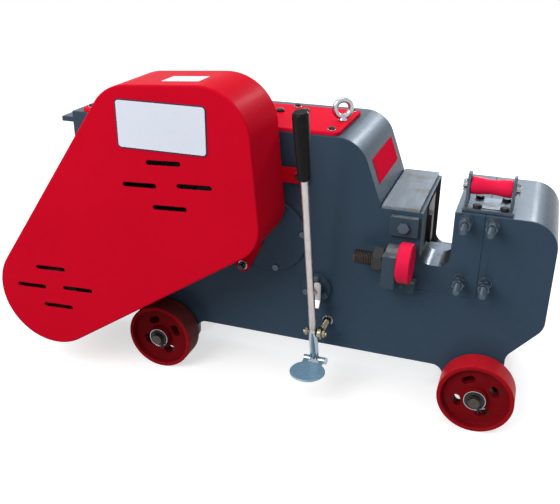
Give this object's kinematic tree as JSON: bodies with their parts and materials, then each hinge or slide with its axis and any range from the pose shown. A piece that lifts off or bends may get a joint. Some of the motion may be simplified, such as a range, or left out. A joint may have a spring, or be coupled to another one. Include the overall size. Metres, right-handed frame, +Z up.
{
  "type": "rebar cutter",
  "caption": "Wheeled mechanical rebar cutter: motor, belt-driven flywheel and gears turn an eccentric that drives a shear blade across an open throat.",
  "frame": {"origin": "on the floor under the middle of the object's length and width", "axes": "+X to the jaw end, -Y to the operator's side with the belt guard and lever, +Z up"},
  "size_m": [1.203, 0.5324, 0.7149],
  "materials": {
    "body_paint": "satin slate-blue machine enamel",
    "motor_paint": "satin slate-blue enamel on ribbed iron",
    "guard_red": "semi-gloss red powder coat",
    "bright_red": "semi-gloss red enamel",
    "wheel_red": "worn red enamel on cast iron",
    "worn_steel": "ground steel with wear and light rust",
    "bare_steel": "turned and oiled steel",
    "dark_steel": "black-oxide steel",
    "zinc": "bright zinc plate",
    "yellow_zinc": "yellow-passivated zinc plate",
    "lever_steel": "plated steel",
    "grip_rubber": "moulded black rubber",
    "belt_rubber": "fabric-faced belt rubber",
    "black_bolt": "black-oxide screws",
    "iron": "machined grey iron",
    "fan_plastic": "moulded black plastic"
  },
  "bodies": {
    "frame": {"body_shell": "body_paint", "throat_block": "body_paint", "top_cover": "bright_red", "cover_bolts": "black_bolt", "oil_plugs": "black_bolt", "lifting_eye": "zinc", "fixed_blade": "worn_steel", "guide_plate": "worn_steel", "slide_cover": "body_paint", "slide_bolt": "dark_steel", "jaw_studs": "dark_steel", "jaw_nuts": "dark_steel", "hold_down_bracket": "body_paint", "lock_nut": "dark_steel", "roller_stand": "dark_steel", "stand_bolts": "dark_steel", "roller_axle": "bare_steel", "axles": "dark_steel", "axle_washers": "dark_steel", "belt_guard": "guard_red", "guard_back": "guard_red", "guard_studs": "zinc", "guard_nuts": "zinc", "motor_plate": "body_paint", "motor_housing": "motor_paint", "motor_fan_cowl": "motor_paint", "terminal_box": "motor_paint", "motor_bolts": "dark_steel", "v_belts": "belt_rubber", "drive_bearings": "bare_steel", "middle_bearings": "bare_steel", "crank_bearings": "bare_steel", "bearing_covers": "body_paint", "bearing_cover_bolts": "dark_steel", "clutch_flange": "body_paint", "lever_pivot": "yellow_zinc"},
    "ram": {"ram": "worn_steel", "moving_blade": "worn_steel"},
    "rod": {"connecting_rod": "bare_steel", "wrist_pin": "bare_steel"},
    "eccentric": {"eccentric_shaft": "bare_steel"},
    "slow_gear": {"crank_gear": "bare_steel"},
    "middle": {"middle_shaft": "bare_steel", "middle_gear": "bare_steel"},
    "drive": {"drive_shaft": "bare_steel", "flywheel": "iron"},
    "rotor": {"motor_rotor": "bare_steel", "motor_fan": "fan_plastic", "motor_pulley": "iron"},
    "lever": {"clutch_lever": "lever_steel", "lever_grip": "grip_rubber", "foot_pedal": "lever_steel"},
    "clutch": {"clutch_rod": "bare_steel"},
    "hold_down": {"hold_down_screw": "dark_steel", "hold_down_disc": "bright_red"},
    "roller": {"feed_roller": "bright_red"},
    "wheel_front_near": {"front_wheel_near": "wheel_red"},
    "wheel_front_far": {"front_wheel_far": "wheel_red"},
    "wheel_rear_near": {"rear_wheel_near": "wheel_red"},
    "wheel_rear_far": {"rear_wheel_far": "wheel_red"}
  },
  "joints": [
    {"name": "flywheel_spin", "type": "hinge", "parent": "frame", "child": "drive", "pos_m": [-0.1515, -0.07081, 0.52], "axis": [0, 1, 0], "continuous": true},
    {"name": "middle_spin", "type": "hinge", "parent": "frame", "child": "middle", "pos_m": [-0.18945, -0.07081, 0.34149], "axis": [0, 1, 0], "continuous": true},
    {"name": "slow_gear_spin", "type": "hinge", "parent": "frame", "child": "slow_gear", "pos_m": [0.0105, -0.07081, 0.362], "axis": [0, 1, 0], "continuous": true},
    {"name": "motor_spin", "type": "hinge", "parent": "frame", "child": "rotor", "pos_m": [-0.4745, -0.07081, 0.208], "axis": [0, 1, 0], "continuous": true},
    {"name": "eccentric_turn", "type": "hinge", "parent": "frame", "child": "eccentric", "pos_m": [0.0105, -0.07081, 0.362], "axis": [0, -1, 0], "range_deg": [0, 180]},
    {"name": "rod_turn", "type": "hinge", "parent": "eccentric", "child": "rod", "pos_m": [-0.0155, -0.07081, 0.362], "axis": [0, -1, 0], "range_deg": [-180, 0]},
    {"name": "ram_slide", "type": "slide", "parent": "frame", "child": "ram", "axis": [1, 0, 0], "range_m": [0, 0.052]},
    {"name": "lever_pull", "type": "hinge", "parent": "frame", "child": "lever", "pos_m": [0.131, -0.13281, 0.172], "axis": [1, 0, 0], "range_deg": [0, 12], "stiffness_Nm_per_rad": 6, "springref_deg": -20.05},
    {"name": "clutch_pull", "type": "slide", "parent": "frame", "child": "clutch", "axis": [0, -1, 0], "range_m": [0, 0.018]},
    {"name": "hold_down_feed", "type": "slide", "parent": "frame", "child": "hold_down", "axis": [1, 0, 0], "range_m": [0, 0.04]},
    {"name": "roller_spin", "type": "hinge", "parent": "frame", "child": "roller", "pos_m": [0.4615, -0.02081, 0.511], "axis": [1, 0, 0], "continuous": true},
    {"name": "front_near_wheel_spin", "type": "hinge", "parent": "frame", "child": "wheel_front_near", "pos_m": [0.4875, -0.1063, 0.08], "axis": [0, 1, 0], "continuous": true},
    {"name": "front_far_wheel_spin", "type": "hinge", "parent": "frame", "child": "wheel_front_far", "pos_m": [0.4875, 0.2247, 0.08], "axis": [0, 1, 0], "continuous": true},
    {"name": "rear_near_wheel_spin", "type": "hinge", "parent": "frame", "child": "wheel_rear_near", "pos_m": [-0.2525, -0.1063, 0.08], "axis": [0, 1, 0], "continuous": true},
    {"name": "rear_far_wheel_spin", "type": "hinge", "parent": "frame", "child": "wheel_rear_far", "pos_m": [-0.2525, 0.2247, 0.08], "axis": [0, 1, 0], "continuous": true}
  ],
  "couplings": [
    {"joint": "middle_spin", "follows": "flywheel_spin", "ratio": -0.25862},
    {"joint": "slow_gear_spin", "follows": "flywheel_spin", "ratio": 0.062261},
    {"joint": "motor_spin", "follows": "flywheel_spin", "ratio": 4.1325},
    {"joint": "rod_turn", "follows": "eccentric_turn", "ratio": -1},
    {"joint": "ram_slide", "follows": "eccentric_turn", "m_per_rad": 0.01655},
    {"joint": "clutch_pull", "follows": "lever_pull", "m_per_rad": 0.0859}
  ]
}
